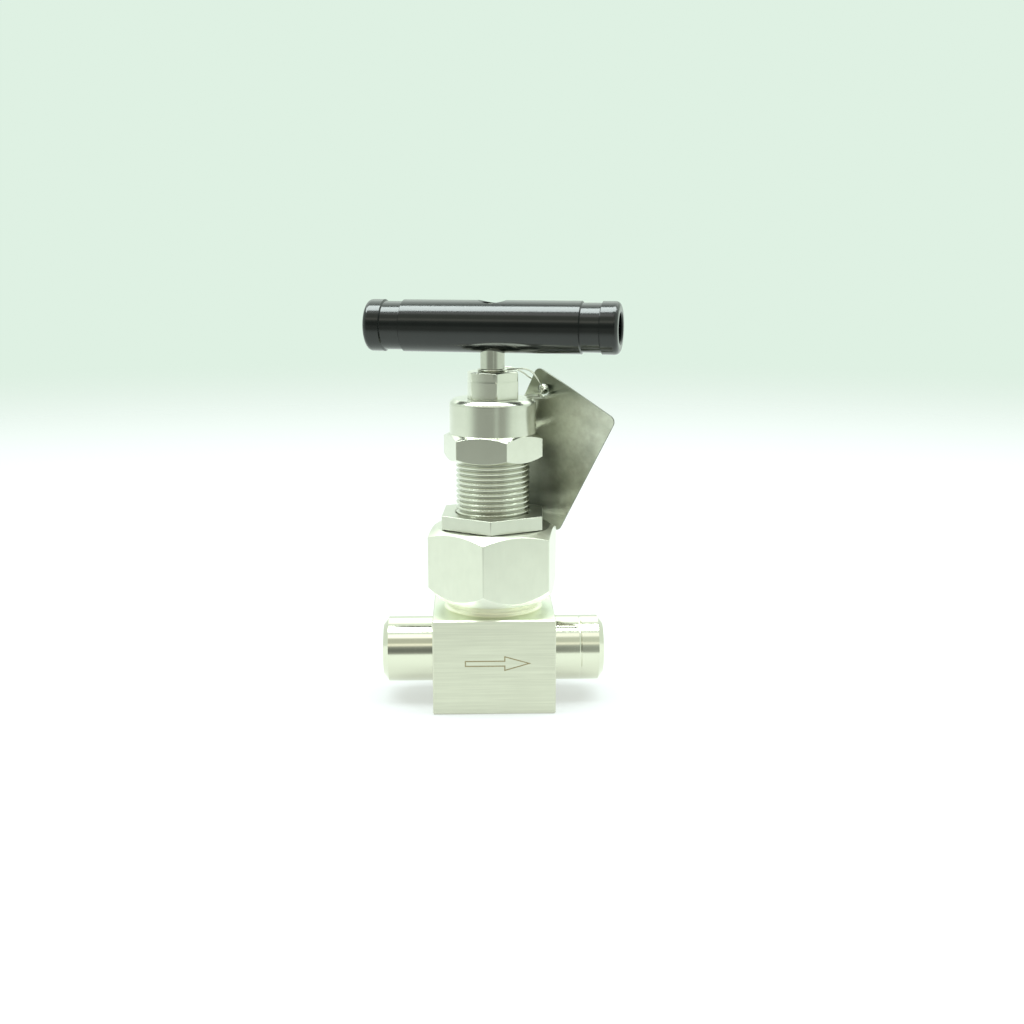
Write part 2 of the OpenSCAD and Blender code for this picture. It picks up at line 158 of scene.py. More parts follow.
class Hexagon:
    """A hexagon with rounded corners: its radius at any azimuth, and azimuths that follow it well.
    crown is how far the middle of a flat stands out, and turned_to cuts the corners to a radius."""

    def __init__(self, across, corner_degrees, rounding, turned_to=None, crown=0.0):
        self.crown = crown
        self.apothem = across / 2
        self.corner = math.radians(corner_degrees) + FRONT
        self.rounding = rounding
        self.turned_to = turned_to
        self.centre = (self.apothem - rounding) / math.cos(PI / 6)
        self.reach = math.atan2(
            rounding * math.sin(PI / 6), self.centre + rounding * math.cos(PI / 6)
        )

    def radius(self, azimuth):
        off = abs((azimuth - self.corner + PI / 6) % SIXTH - PI / 6)
        if off > self.reach:
            found = self.apothem / math.cos(PI / 6 - off)
            from_middle = math.tan(PI / 6 - off) / math.tan(PI / 6 - self.reach)
            found += self.crown * (1 - from_middle ** 2)
        else:
            found = self.centre * math.cos(off) + math.sqrt(
                self.rounding ** 2 - (self.centre * math.sin(off)) ** 2
            )
        return found if self.turned_to is None else min(found, self.turned_to)

    def azimuths(self, corner_steps=2, flat_steps=32, crowding=0.75):
        """Azimuths all the way round, crowded towards both ends of each flat."""
        found = []
        for side in range(6):
            middle = self.corner + side * SIXTH
            for k in range(corner_steps):
                found.append(middle + self.reach * (2 * k / corner_steps - 1))
            flat = SIXTH - 2 * self.reach
            for k in range(flat_steps):
                share = k / flat_steps
                share -= crowding * math.sin(2 * PI * share) / (2 * PI)
                found.append(middle + self.reach + flat * share)
        return found


# ---------------------------------------------------------------- union nut

union_low, union_high = low_high("union_nut")
union_hex = Hexagon(34.93, -9, 0.35)


def union_column(azimuth):
    """Section of the union nut: a chamfered hexagon, hollow for the neck, the flange and the bonnet."""
    radius = union_hex.radius(azimuth)
    neck_hole, flange_hole, shank_hole = 14.34, 13.05, 10.9
    bottom_face, top_face = 16.3, 16.55
    corner_r, bottom_drop, top_drop = 20.316, 4.25, 2.2
    bottom_slope = bottom_drop / (corner_r - bottom_face)
    top_slope = top_drop / (corner_r - top_face)
    shoulder, ceiling = 38.1, 44.52
    return rounded([
        (neck_hole, union_low, 0.15),
        (bottom_face, union_low, 0.25),
        (radius, union_low + (radius - bottom_face) * bottom_slope, 0.22),
        (radius, union_high - (radius - top_face) * top_slope, 0.22),
        (top_face, union_high, 0.2),
        (shank_hole, union_high, 0.15),
        (shank_hole, ceiling, 0),
        (flange_hole, ceiling, 0),
        (flange_hole, shoulder, 0),
        (neck_hole, shoulder, 0),
    ])


union_nut = around("union_nut_shell", union_hex.azimuths(), union_column)
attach(union_nut, "valve_body")
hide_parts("union_nut")

# ---------------------------------------------------------------- panel nut

panel_low, panel_high = low_high("panel_nut")
panel_hex = Hexagon(28.58, -3.2, 0.2)


def panel_column(azimuth):
    """Section of the panel nut: a hexagon on a low round seat."""
    radius = panel_hex.radius(azimuth)
    bore, mouth = 10.66, 11.1
    seat_r, seat_h = 12.6, 0.2
    lead_in = 0.45
    return rounded([
        (mouth, panel_low, 0.05),
        (seat_r, panel_low, 0.05),
        (seat_r, panel_low + seat_h, 0.05),
        (radius, panel_low + seat_h, 0.1),
        (radius, panel_high, 0.14),
        (mouth, panel_high, 0.05),
        (bore, panel_high - lead_in, 0.05),
        (bore, panel_low + lead_in, 0.05),
    ])


panel_nut = around("panel_nut_shell", panel_hex.azimuths(), panel_column)
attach(panel_nut, "panel_nut_body")
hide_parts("panel_nut")

# ---------------------------------------------------------------- bonnet cap

cap_low, cap_high = low_high("bonnet_cap")
cap_hex = Hexagon(25.4, 14.3, 0.22, crown=0.03)


def cap_column(azimuth):
    """Section of the cap: a chamfered hexagon at its foot and a round barrel above."""
    radius = cap_hex.radius(azimuth)
    thread_hole, bolt_hole, inner_roof = 10.72, 7.12, 79.0
    face, barrel, rim = 12.5, 12.35, 11.2
    corner_r, corner_drop = 14.815, 1.34
    slope = corner_drop / (corner_r - face)
    shoulder, rim_drop, sliver = 78.5, 1.05, 0.02
    chamfer = max(radius - face, 0) * slope
    return rounded([
        (thread_hole, cap_low, 0.1),
        (face, cap_low, 0.08),
        (radius, cap_low + chamfer, 0.12),
        (radius, shoulder - chamfer, 0.12),
        (face, shoulder, 0.05),
        (barrel, shoulder + sliver, 0.06),
        (barrel, cap_high - rim_drop, 1.3),
        (rim, cap_high, 0.6),
        (bolt_hole, cap_high, 0.1),
        (bolt_hole, inner_roof, 0),
        (thread_hole, inner_roof, 0),
    ])


bonnet_cap = around("bonnet_cap_shell", cap_hex.azimuths(), cap_column)
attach(bonnet_cap, "valve_body")
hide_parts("bonnet_cap")

# ---------------------------------------------------------------- packing bolt

bolt_low, bolt_high = low_high("packing_bolt")
bolt_hex = Hexagon(13.5, 7.3, 0.12, turned_to=7.75, crown=0.3)


def bolt_column(azimuth):
    """Section of the packing bolt: a thread below, then a hexagon with a fine groove round it."""
    radius = bolt_hex.radius(azimuth)
    thread_r, nose_r, thread_low = 6.8, 5.7, 80.6
    coupling_bore, drive_bore, stem_bore = 3.6, 4.18, 3.56
    drive_low, drive_high = 83, 95.2
    shoulder = cap_high + 0.02
    groove_z, groove_h, groove_depth = 93.45, 0.3, 0.045
    groove_r = min(radius, 7.65) - groove_depth
    upper = min(radius - 0.06, 7.63)
    chamfer, chamfer_from, chamfer_reach, top_r = 0.35, 6.7, 0.9, 6.75
    top_drop = chamfer * max(upper - chamfer_from, 0) / chamfer_reach
    return rounded([
        (nose_r, bolt_low, 0.1),
        (nose_r, thread_low, 0),
        (thread_r, thread_low, 0.1),
        (thread_r, shoulder, 0),
        (radius, shoulder, 0.06),
        (radius, groove_z - groove_h, 0.06),
        (groove_r, groove_z, 0.06),
        (upper, groove_z + groove_h, 0.06),
        (upper, bolt_high - top_drop, 0.08),
        (top_r, bolt_high, 0.08),
        (stem_bore + chamfer, bolt_high, 0.08),
        (stem_bore, bolt_high - chamfer, 0),
        (stem_bore, drive_high, 0),
        (drive_bore, drive_high, 0),
        (drive_bore, drive_low, 0),
        (coupling_bore, drive_low, 0),
        (coupling_bore, bolt_low, 0.1),
    ], steps=3)


packing_bolt = around("packing_bolt_shell", bolt_hex.azimuths(), bolt_column)
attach(packing_bolt, "valve_body")
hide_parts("packing_bolt")

# ---------------------------------------------------------------- bonnet with its helical thread

bonnet_low, bonnet_high = low_high("bonnet")

# One pitch of the thread: how far along it, and how far out from the root to the crest.
THREAD_TURN = [
    (0.0, 0.0), (0.06, 0.0), (0.09, 0.04), (0.335, 0.95), (0.365, 1.0),
    (0.5, 1.0), (0.635, 1.0), (0.665, 0.95), (0.91, 0.04), (0.94, 0.0),
]


def threaded(name, columns, below, above, low, high, root, crest, pitch, sharp):
    """A solid round the Z axis whose outside is a right-hand thread from low to high.
    below is the outline under the thread, from the axis side outwards, and above closes it."""
    rows = len(THREAD_TURN)
    turns = math.ceil((high - low) / pitch) + 2
    thread_rows = turns * rows
    points = []
    for i in range(columns):
        azimuth = 2 * PI * i / columns
        outline = list(below)
        for j in range(thread_rows):
            share, out = THREAD_TURN[j % rows]
            z = low + (j // rows + share + i / columns - 1) * pitch
            if z <= low:
                outline.append((root, low))
            elif z >= high:
                outline.append((root, high))
            else:
                outline.append((root + (crest - root) * out, z))
        outline += above
        points += [(r * math.cos(azimuth), r * math.sin(azimuth), z) for r, z in outline]
    count = len(below) + thread_rows + len(above)
    first = len(below)
    last = first + thread_rows - 1

    def partner(row):
        """The row of the first column that a row of the last column meets, one turn further up."""
        return min(row + rows, last) if first <= row <= last else row

    faces = []
    for i in range(columns):
        j = (i + 1) % columns
        for k in range(count):
            m = (k + 1) % count
            across_k = partner(k) if j == 0 else k
            across_m = partner(m) if j == 0 else m
            faces.append((i * count + k, j * count + across_k, j * count + across_m, i * count + m))
    return add_mesh(name, points, faces, sharp)


stem_hole, packing_hole, packing_floor = 3.04, 5.8, 61.5
nose_r, flange_r, flange_low, flange_high = 6.86, 12.9, 39.0, 44.5
thread_low, thread_crest, thread_depth, thread_pitch = 46.6, 10.6, 0.85, 1.5
edge, relief_h = 0.6, 0.4
bonnet = threaded(
    "bonnet_thread_shell",
    columns=144,
    below=[
        (stem_hole, bonnet_low), (nose_r - edge, bonnet_low), (nose_r, bonnet_low + edge),
        (nose_r, flange_low), (flange_r - edge, flange_low), (flange_r, flange_low + edge),
        (flange_r, flange_high - edge), (flange_r - edge, flange_high),
        (thread_crest, flange_high), (thread_crest, thread_low - relief_h),
        (thread_crest - thread_depth, thread_low),
    ],
    above=[
        (packing_hole, bonnet_high), (packing_hole, packing_floor), (stem_hole, packing_floor),
    ],
    low=thread_low,
    high=bonnet_high,
    root=thread_crest - thread_depth,
    crest=thread_crest,
    pitch=thread_pitch,
    sharp=math.radians(45),
)
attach(bonnet, "valve_body")
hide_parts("bonnet")

# ---------------------------------------------------------------- tag and wire

TAG_AZIMUTH, TAG_LEAN, TAG_SLOPE = 56.2, 8.53, 31
TAG_WIDTH, TAG_LENGTH, TAG_THICKNESS = 28.6, 42.5, 0.5
TAG_CORNER, TAG_HOLE = 2.0, 1.7
HOLE_FROM_SIDE, HOLE_FROM_END = 4.75, 5.3
WIRE_RADIUS, WIRE_PLAY = 0.275, 0.05
PIVOT = Vector((8.35, 14.53, 91.5))
out_turn = Matrix.Rotation(math.radians(TAG_AZIMUTH - 90), 4, "Z")
tag_frame = (
    out_turn
    @ Matrix.Translation(PIVOT)
    @ Matrix.Rotation(math.radians(90 + TAG_LEAN), 4, "X")
    @ Matrix.Translation((0, -(TAG_HOLE - WIRE_RADIUS - WIRE_PLAY), 0))
    @ Matrix.Rotation(math.radians(-TAG_SLOPE), 4, "Z")
)


def tag_outline():
    """The tag's edge round its hole's centre, with close points on the rounded corners."""
    corner_steps, spacing = 8, 0.7
    left, right = -HOLE_FROM_SIDE, TAG_WIDTH - HOLE_FROM_SIDE
    top, bottom = HOLE_FROM_END, HOLE_FROM_END - TAG_LENGTH
    centres = [
        (right - TAG_CORNER, top - TAG_CORNER, 0),
        (left + TAG_CORNER, top - TAG_CORNER, 1),
        (left + TAG_CORNER, bottom + TAG_CORNER, 2),
        (right - TAG_CORNER, bottom + TAG_CORNER, 3),
    ]
    arcs = []
    for x, y, quarter in centres:
        for k in range(corner_steps + 1):
            a = PI / 2 * (quarter + k / corner_steps)
            arcs.append(Vector((x + TAG_CORNER * math.cos(a), y + TAG_CORNER * math.sin(a))))
    outline = []
    for k, here in enumerate(arcs):
        ahead = arcs[(k + 1) % len(arcs)]
        steps = max(1, round((ahead - here).length / spacing))
        outline += [here.lerp(ahead, m / steps) for m in range(steps)]
    return outline


def ease(value, low, high):
    """From 0 at low to 1 at high, smooth at both ends."""
    t = min(max((value - low) / (high - low), 0), 1)
    return t * t * (3 - 2 * t)


def bent(x, y, w):
    """A point of the flat tag, moved by the bend that the sheet has across its corner at the hole.
    The crease runs just under the hole, and the strip under it at the near edge curls away."""
    direction, crease_drop = math.radians(40), 1.5
    sag, sag_reach = 0.7, 2.6
    along = x * math.cos(direction) + y * math.sin(direction)
    above = y * math.cos(direction) - x * math.sin(direction) + crease_drop
    above += sag * math.exp(-(along / sag_reach) ** 2)
    fade = 1 - ease(along, 1.5, 9.5)
    lean, softness = math.tan(math.radians(4)), 0.8
    lift = lean * 0.5 * (above + math.hypot(above, softness))
    ridge_height, ridge_width = 0.55, 0.42
    ridge = ridge_height * math.exp(-(above / ridge_width) ** 2)
    curl_depth, curl_onset = 3.2, 4.5
    curl_side = (1 - ease(x, -HOLE_FROM_SIDE, 1.0)) * (1 - ease(-y, 5, 17))
    curl = curl_depth * (1 - math.exp(-max(-above, 0) ** 1.5 / curl_onset)) * curl_side
    return Vector((x, y, w + fade * (lift + ridge) - curl))


def tag_mesh():
    """Points and faces of the bent tag: rings from its hole to its edge, over both of its faces."""
    outline = tag_outline()
    count = len(outline)
    radial_steps, crowding, rim = 36, 1.6, 0.1
    half = TAG_THICKNESS / 2

    def place(edge_point, share, height):
        """A point that share of the way from the hole to the edge, with the two rims bevelled."""
        outward = edge_point.normalized()
        bevel = rim if height != 0 else 0
        near = outward * (TAG_HOLE + (bevel if share == 0 else 0))
        far = edge_point - outward * (bevel if share == 1 else 0)
        flat = near.lerp(far, share)
        return tag_frame @ bent(flat.x, flat.y, height)

    shares = [(k / radial_steps) ** crowding for k in range(radial_steps + 1)]
    layers = [(share, half) for share in shares] + [(1, 0)]
    layers += [(share, -half) for share in reversed(shares)] + [(0, 0)]
    points = []
    for share, height in layers:
        points += [place(edge_point, share, height) for edge_point in outline]
    faces = []
    for k in range(len(layers)):
        m = (k + 1) % len(layers)
        for i in range(count):
            j = (i + 1) % count
            faces.append((k * count + i, k * count + j, m * count + j, m * count + i))
    return points, faces


tag_points, tag_faces = tag_mesh()
tag_plate = add_mesh("tag_plate_sheet", tag_points, tag_faces, math.radians(50))
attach(tag_plate, "tag_body")
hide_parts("tag_plate")


def smooth_point(a, b, c, d, t):
    """A point between b and c on a smooth curve through four points."""
    return 0.5 * (
        2 * b + (c - a) * t + (2 * a - 5 * b + 4 * c - d) * t ** 2
        + (3 * b - a - 3 * c + d) * t ** 3
    )


def closed_route(points, steps):
    """A smooth closed route through points."""
    count = len(points)
    route = []
    for k in range(count):
        a, b, c, d = (points[(k + m) % count] for m in (-1, 0, 1, 2))
        route += [smooth_point(a, b, c, d, m / steps) for m in range(steps)]
    return route


def tube(route, radius, sides, closed):
    """Points and faces of a round tube along a route."""
    count = len(route)
    points = []
    for k in range(count):
        ahead = route[(k + 1) % count] if closed or k < count - 1 else route[k]
        behind = route[k - 1] if closed or k > 0 else route[k]
        along = (ahead - behind).normalized()
        across = along.cross(Vector((0, 0, 1))).normalized()
        rise = across.cross(along)
        for m in range(sides):
            a = 2 * PI * m / sides
            points.append(route[k] + radius * (math.cos(a) * across + math.sin(a) * rise))
    faces = []
    for k in range(count if closed else count - 1):
        j = (k + 1) % count
        for m in range(sides):
            n = (m + 1) % sides
            faces.append((k * sides + m, k * sides + n, j * sides + n, j * sides + m))
    if not closed:
        faces.append(tuple(range(sides)))
        faces.append(tuple(range((count - 1) * sides, count * sides)))
    return points, faces


def knot(start, centre, radius, turns):
    """A route that leaves start and winds into a small ball."""
    axis = (centre - start).normalized()
    across = axis.cross(Vector((0, 0, 1))).normalized()
    rise = across.cross(axis)
    steps_per_turn, spread = 16, math.radians(124)
    route = [start]
    steps = steps_per_turn * turns
    for k in range(steps + 1):
        tilt = spread * (k / steps - 0.5)
        a = 2 * PI * turns * k / steps
        out = math.cos(a) * across + math.sin(a) * rise
        route.append(centre + radius * (math.cos(tilt) * out + math.sin(tilt) * axis))
    return route


# The wire is one loop: round the stem on top of the packing bolt, out to the tag, in through the
# tag's hole and back.
above_bolt = 0.12
wire_ring_r, wire_z = 4.05, bolt_high + WIRE_RADIUS + above_bolt
ring_start, ring_end, ring_step = 24, -236, -20
wire_ring = []
for degrees in range(ring_start, ring_end - 1, ring_step):
    a = math.radians(degrees)
    wire_ring.append(Vector((wire_ring_r * math.cos(a), wire_ring_r * math.sin(a), wire_z)))
straight = 0.9
through = Vector((0, straight, straight * math.sin(math.radians(TAG_LEAN))))
wire_points = wire_ring + [
    Vector((-0.8, 6.2, 96.6)), Vector((0.8, 9.4, 96.3)), Vector((2.2, 12.3, 95.0)),
    Vector((3.2, 14.7, 93.4)), Vector((5.1, 16.2, 92.2)), Vector((7.2, 16.1, 91.8)),
    PIVOT + through, PIVOT, PIVOT - through,
    Vector((8.2, 12.4, 92.3)), Vector((8.0, 11.0, 93.8)), Vector((7.6, 9.0, 95.5)),
    Vector((6.9, 6.6, 96.5)), Vector((5.7, 4.2, 96.65)),
]
wire_route = [out_turn @ p for p in closed_route(wire_points, 8)]
wire_tube, wire_faces = tube(wire_route, WIRE_RADIUS, 12, True)
KNOT_RADIUS, KNOT_TURNS = 1.25, 5
KNOT_FROM_HOLE = Vector((-0.13, -2.3, 0.22))
knot_centre = tag_frame.translation + KNOT_FROM_HOLE
end_route = knot(out_turn @ (PIVOT - through), knot_centre, KNOT_RADIUS, KNOT_TURNS)
end_tube, end_faces = tube(end_route, WIRE_RADIUS, 10, False)
wire_faces += [tuple(k + len(wire_tube) for k in face) for face in end_faces]
tag_wire = add_mesh("tag_wire_loop", wire_tube + end_tube, wire_faces)
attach(tag_wire, "wire_body")
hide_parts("tag_wire")

# ---------------------------------------------------------------- flow arrow on the body

block_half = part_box("body")[1].y / MM


def flow_arrow():
    """The outline arrow etched in the front face, as a thin film along its lines."""
    tail, neck_x, tip = -8.2, 2.95, 9.9
    shaft_half, head_half, middle_z = 0.72, 2.0, 15.0
    line, film, sunk = 0.34, 0.012, 0.03
    sharpest = 0.3
    face_y = -block_half
    outline = [
        Vector((tail, middle_z - shaft_half)), Vector((neck_x, middle_z - shaft_half)),
        Vector((neck_x, middle_z - head_half)), Vector((tip, middle_z)),
        Vector((neck_x, middle_z + head_half)), Vector((neck_x, middle_z + shaft_half)),
        Vector((tail, middle_z + shaft_half)),
    ]
    count = len(outline)
    points = []
    for depth in (face_y + sunk, face_y - film):
        for side in (-0.5, 0.5):
            for k in range(count):
                before = (outline[k] - outline[k - 1]).normalized()
                after = (outline[(k + 1) % count] - outline[k]).normalized()
                left_before = Vector((-before.y, before.x))
                left_after = Vector((-after.y, after.x))
                bisector = (left_before + left_after).normalized()
                offset = side * line / max(bisector.dot(left_after), sharpest)
                p = outline[k] + bisector * offset
                points.append((p.x, depth, p.y))
    faces = []
    for k in range(count):
        j = (k + 1) % count
        back_inner, back_outer, front_inner, front_outer = 0, count, 2 * count, 3 * count
        faces.append((front_inner + k, front_inner + j, front_outer + j, front_outer + k))
        faces.append((back_inner + k, back_inner + j, back_outer + j, back_outer + k))
        faces.append((back_inner + k, back_inner + j, front_inner + j, front_inner + k))
        faces.append((back_outer + k, back_outer + j, front_outer + j, front_outer + k))
    return points, faces


arrow_points, arrow_faces = flow_arrow()
arrow = add_mesh("flow_arrow", arrow_points, arrow_faces)
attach(arrow, "valve_body")

# ---------------------------------------------------------------- materials


class Graph:
    """Short calls that add and join shader nodes."""

    def __init__(self, material):
        material.use_nodes = True
        self.tree = material.node_tree
        self.tree.nodes.clear()
        self.coordinates = None

    def add(self, kind, **settings):
        node = self.tree.nodes.new(kind)
        for name, value in settings.items():
            setattr(node, name, value)
        return node

    def join(self, output, socket):
        self.tree.links.new(output, socket)

    def position(self):
        if self.coordinates is None:
            self.coordinates = self.add("ShaderNodeTexCoord").outputs["Object"]
        return self.coordinates

    def stretched(self, scale, offset=(0, 0, 0)):
        node = self.add("ShaderNodeMapping")
        node.inputs["Scale"].default_value = scale
        node.inputs["Location"].default_value = offset
        self.join(self.position(), node.inputs["Vector"])
        return node.outputs["Vector"]

    def calculate(self, operation, *values):
        """The result of a Math node. Each value is an output to join, or a plain number."""
        node = self.add("ShaderNodeMath", operation=operation)
        for value, socket in zip(values, node.inputs):
            if isinstance(value, (int, float)):
                socket.default_value = value
            else:
                self.join(value, socket)
        return node.outputs[0]

    def vector(self, operation, first, second=None):
        """The result of a Vector Math node on an output and a plain vector."""
        node = self.add("ShaderNodeVectorMath", operation=operation)
        self.join(first, node.inputs[0])
        if second is not None:
            node.inputs[1].default_value = second
        gives_number = operation in ("LENGTH", "DOT_PRODUCT")
        return node.outputs["Value" if gives_number else "Vector"]

    def split(self, vector):
        """The X, Y and Z of a vector, by name."""
        node = self.add("ShaderNodeSeparateXYZ")
        self.join(vector, node.inputs[0])
        return node.outputs

    def from_z_axis(self):
        """Distance from the Z axis."""
        return self.vector("LENGTH", self.vector("MULTIPLY", self.position(), (1, 1, 0)))

    def scaled(self, output, factor):
        return self.calculate("MULTIPLY", output, factor)

    def turned(self, axis, centre, across, along):
        """Coordinates that are equal all the way round a turned part:
        distance from the axis, and distance along it."""
        shift = self.vector("SUBTRACT", self.position(), centre)
        flat = self.vector("MULTIPLY", shift, (0, 1, 1) if axis == "X" else (1, 1, 0))
        both = self.add("ShaderNodeCombineXYZ")
        self.join(self.scaled(self.vector("LENGTH", flat), across), both.inputs["X"])
        self.join(self.scaled(self.split(shift)[axis], along), both.inputs["Y"])
        return both.outputs[0]

    def noise(self, vector, scale=1.0, detail=2.0, roughness=0.5):
        node = self.add("ShaderNodeTexNoise")
        node.inputs["Scale"].default_value = scale
        node.inputs["Detail"].default_value = detail
        node.inputs["Roughness"].default_value = roughness
        self.join(vector, node.inputs["Vector"])
        return node.outputs["Fac"]

    def ranged(self, output, low, high, from_low=0.3, from_high=0.7, kind="LINEAR"):
        """low where output is from_low, high where it is from_high, and held beyond them."""
        node = self.add("ShaderNodeMapRange", interpolation_type=kind)
        node.inputs["From Min"].default_value = from_low
        node.inputs["From Max"].default_value = from_high
        node.inputs["To Min"].default_value = low
        node.inputs["To Max"].default_value = high
        self.join(output, node.inputs["Value"])
        return node.outputs["Result"]

    def smooth(self, output, from_low, from_high, low=0, high=1):
        """Like ranged, with soft ends."""
        return self.ranged(output, low, high, from_low, from_high, "SMOOTHSTEP")

    def mixed(self, factor, first, second):
        """Two numbers mixed: the first where factor is 0, the second where it is 1."""
        node = self.add("ShaderNodeMix", data_type="FLOAT")
        self.join(factor, node.inputs["Factor"])
        for value, socket in ((first, node.inputs["A"]), (second, node.inputs["B"])):
            if isinstance(value, (int, float)):
                socket.default_value = value
            else:
                self.join(value, socket)
        return node.outputs["Result"]

    def blend(self, factor, first, second):
        """Two colours mixed: the first where factor is 0, the second where it is 1."""
        node = self.add("ShaderNodeMix", data_type="RGBA")
        self.join(factor, node.inputs["Factor"])
        for value, socket in ((first, node.inputs["A"]), (second, node.inputs["B"])):
            if isinstance(value, tuple):
                socket.default_value = (*value, 1)
            else:
                self.join(value, socket)
        return node.outputs["Result"]

    def bump(self, height, depth_mm, strength=1.0, under=None):
        node = self.add("ShaderNodeBump")
        node.inputs["Strength"].default_value = strength
        node.inputs["Distance"].default_value = depth_mm * MM
        self.join(height, node.inputs["Height"])
        if under is not None:
            self.join(under, node.inputs["Normal"])
        return node.outputs["Normal"]

    def choose(self, factor, first, second):
        """Two shaders mixed: the first where factor is 0, the second where it is 1."""
        node = self.add("ShaderNodeMixShader")
        for value, socket in zip((factor, first, second), node.inputs):
            self.join(value, socket)
        return node.outputs[0]

    def show(self, shader, kind="ShaderNodeOutputMaterial"):
        self.join(shader, self.add(kind).inputs["Surface"])

    def finish(self, colour, roughness, normal, metallic=1.0, **values):
        shader = self.add("ShaderNodeBsdfPrincipled")
        shader.inputs["Metallic"].default_value = metallic
        for name, value in values.items():
            shader.inputs[name.replace("_", " ")].default_value = value
        self.join(colour, shader.inputs["Base Color"])
        self.join(roughness, shader.inputs["Roughness"])
        self.join(normal, shader.inputs["Normal"])
        self.show(shader.outputs[0])


def new_material(name):
    """A material and the graph that fills it."""
    material = bpy.data.materials.new(name)
    return material, Graph(material)


STEEL = (0.6, 0.607, 0.525)


def shade(colour, factor):
    """A colour made darker or lighter."""
    return tuple(c * factor for c in colour)


def satin_steel(name, colour, roughness, lines, depth_mm, painted_underside_tone=None):
    """Machined steel: fine lines along one direction, cloudy patches and small scuffs.
    The last argument is a painted lighter tone for faces that look down, standing in for the bright
    floor they reflect; those faces are also made rougher."""
    material, g = new_material(name)
    fine = g.noise(g.stretched(lines), detail=1)
    cloud = g.noise(g.position(), scale=220, detail=4)
    scuff = g.noise(g.position(), scale=700, detail=2)
    tone = g.blend(g.ranged(cloud, 0, 1), shade(colour, 0.95), colour)
    tone = g.blend(g.ranged(fine, 0, 0.3), tone, shade(colour, 0.93))
    spread = 0.015
    brushed = g.ranged(fine, roughness - spread, roughness + spread)
    rough = g.calculate("ADD", brushed, g.ranged(scuff, -0.01, 0.02))
    if painted_underside_tone is not None:
        blue_share, under_rough = 0.93, 0.55
        normal = g.add("ShaderNodeNewGeometry").outputs["Normal"]
        down = g.ranged(g.split(normal)["Z"], 1, 0, -0.45, -0.25)
        # Painted light: faces that look down are lightened to stand in for the floor they reflect.
        tone = g.blend(down, tone, (painted_underside_tone, painted_underside_tone, painted_underside_tone * blue_share))
        rough = g.mixed(down, rough, under_rough)
    g.finish(tone, rough, g.bump(fine, depth_mm))
    return material


def turned_steel(name, colour, roughness, depth_mm, painted_root_shade_radii=None):
    """Steel turned on a lathe: rings of uneven depth all the way round the Z axis.
    The last argument gives the two radii between which the thread's root hollows, darkened with painted
    shade, turn to the plain tone towards the crests."""
    unevenness, ring_scale = 0.04, 2600
    material, g = new_material(name)
    coordinates = g.turned("Z", (0, 0, 0), ring_scale, ring_scale)
    coarse = g.noise(coordinates, detail=3, roughness=0.6)
    cloud = g.noise(g.position(), scale=180, detail=4)
    tone = g.blend(g.ranged(cloud, 0, 1), shade(colour, 0.95), colour)
    tone = g.blend(g.ranged(coarse, 0, 0.35), tone, shade(colour, 0.88))
    if painted_root_shade_radii is not None:
        # Painted shade: a thread's root hollows are darkened inside the first radius, fading out by the
        # second.
        dull = g.ranged(g.from_z_axis(), 1, 0, painted_root_shade_radii[0] * MM, painted_root_shade_radii[1] * MM)
        tone = g.blend(dull, tone, shade(colour, 0.72))
    rough = g.ranged(coarse, roughness - unevenness, roughness + unevenness)
    g.finish(tone, rough, g.bump(coarse, depth_mm))
    return material


def set_material(piece, material):
    """Give a piece made here its only material."""
    piece.data.materials.clear()
    piece.data.materials.append(material)


def set_cad_material(node, material):
    """Give a CAD node its material, in all its slots."""
    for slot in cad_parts[node].material_slots:
        slot.material = material


BRUSHED = (900, 900, 200)  # How fine the hexagons' lines are along X, Y and Z.
# Painted shade: the panel nut's steel is a darker copy of the steel (0.9).
hex_steel = satin_steel("satin_hexagons", shade(STEEL, 0.9), 0.305, BRUSHED, 0.0008)
set_material(panel_nut, hex_steel)
# Painted light: the union nut's steel is a slightly lighter copy (1.02), and its faces that look down
# get a lighter painted tone (0.88).
union_steel = satin_steel(
    "satin_union_nut", shade(STEEL, 1.02), 0.305, BRUSHED, 0.0008, painted_underside_tone=0.88
)
set_material(union_nut, union_steel)
# Painted light: the packing bolt's steel is a lighter copy of the steel (1.06).
bolt_steel = satin_steel("satin_bolt", shade(STEEL, 1.06), 0.22, BRUSHED, 0.0006)
set_material(packing_bolt, bolt_steel)
cap_steel = turned_steel("turned_cap", STEEL, 0.21, 0.0015)
set_material(bonnet_cap, cap_steel)
thread_steel = turned_steel("thread", STEEL, 0.2, 0.001, painted_root_shade_radii=(9.75, 10.2))
set_material(bonnet, thread_steel)
# Painted shade: the stem's steel is a darker copy of the steel (0.82).
stem_steel = turned_steel("ground_stem", shade(STEEL, 0.82), 0.18, 0.0008)
set_cad_material("upper_stem", stem_steel)
inner_steel = turned_steel("inner_parts", shade(STEEL, 0.92), 0.25, 0.001)
for node in ("lower_stem", "gland", "packing_support", "anti_rotation_pin", "thrust_ball"):
    set_cad_material(node, inner_steel)
tip_steel = turned_steel("stem_tip", shade(STEEL, 0.9), 0.2, 0.001)
set_cad_material("stem_tip", tip_steel)
seal_metal = turned_steel("plated_seal", (0.8, 0.8, 0.78), 0.2, 0.0008)
set_cad_material("bonnet_seal", seal_metal)


def stub_height(g, rings, x):
    """How high the stubs' surface is, in depths of the bump: turned rings everywhere,
    and one groove scored round the right-hand stub."""
    ring_depth, score_depth = 0.35, 60
    score_x, score_half_width = 25.3, 0.45
    beside = g.calculate("ABSOLUTE", g.calculate("SUBTRACT", x, score_x * MM))
    outside_score = g.smooth(beside, 0, score_half_width * MM)
    return g.calculate("ADD", g.scaled(rings, ring_depth), g.scaled(outside_score, score_depth))


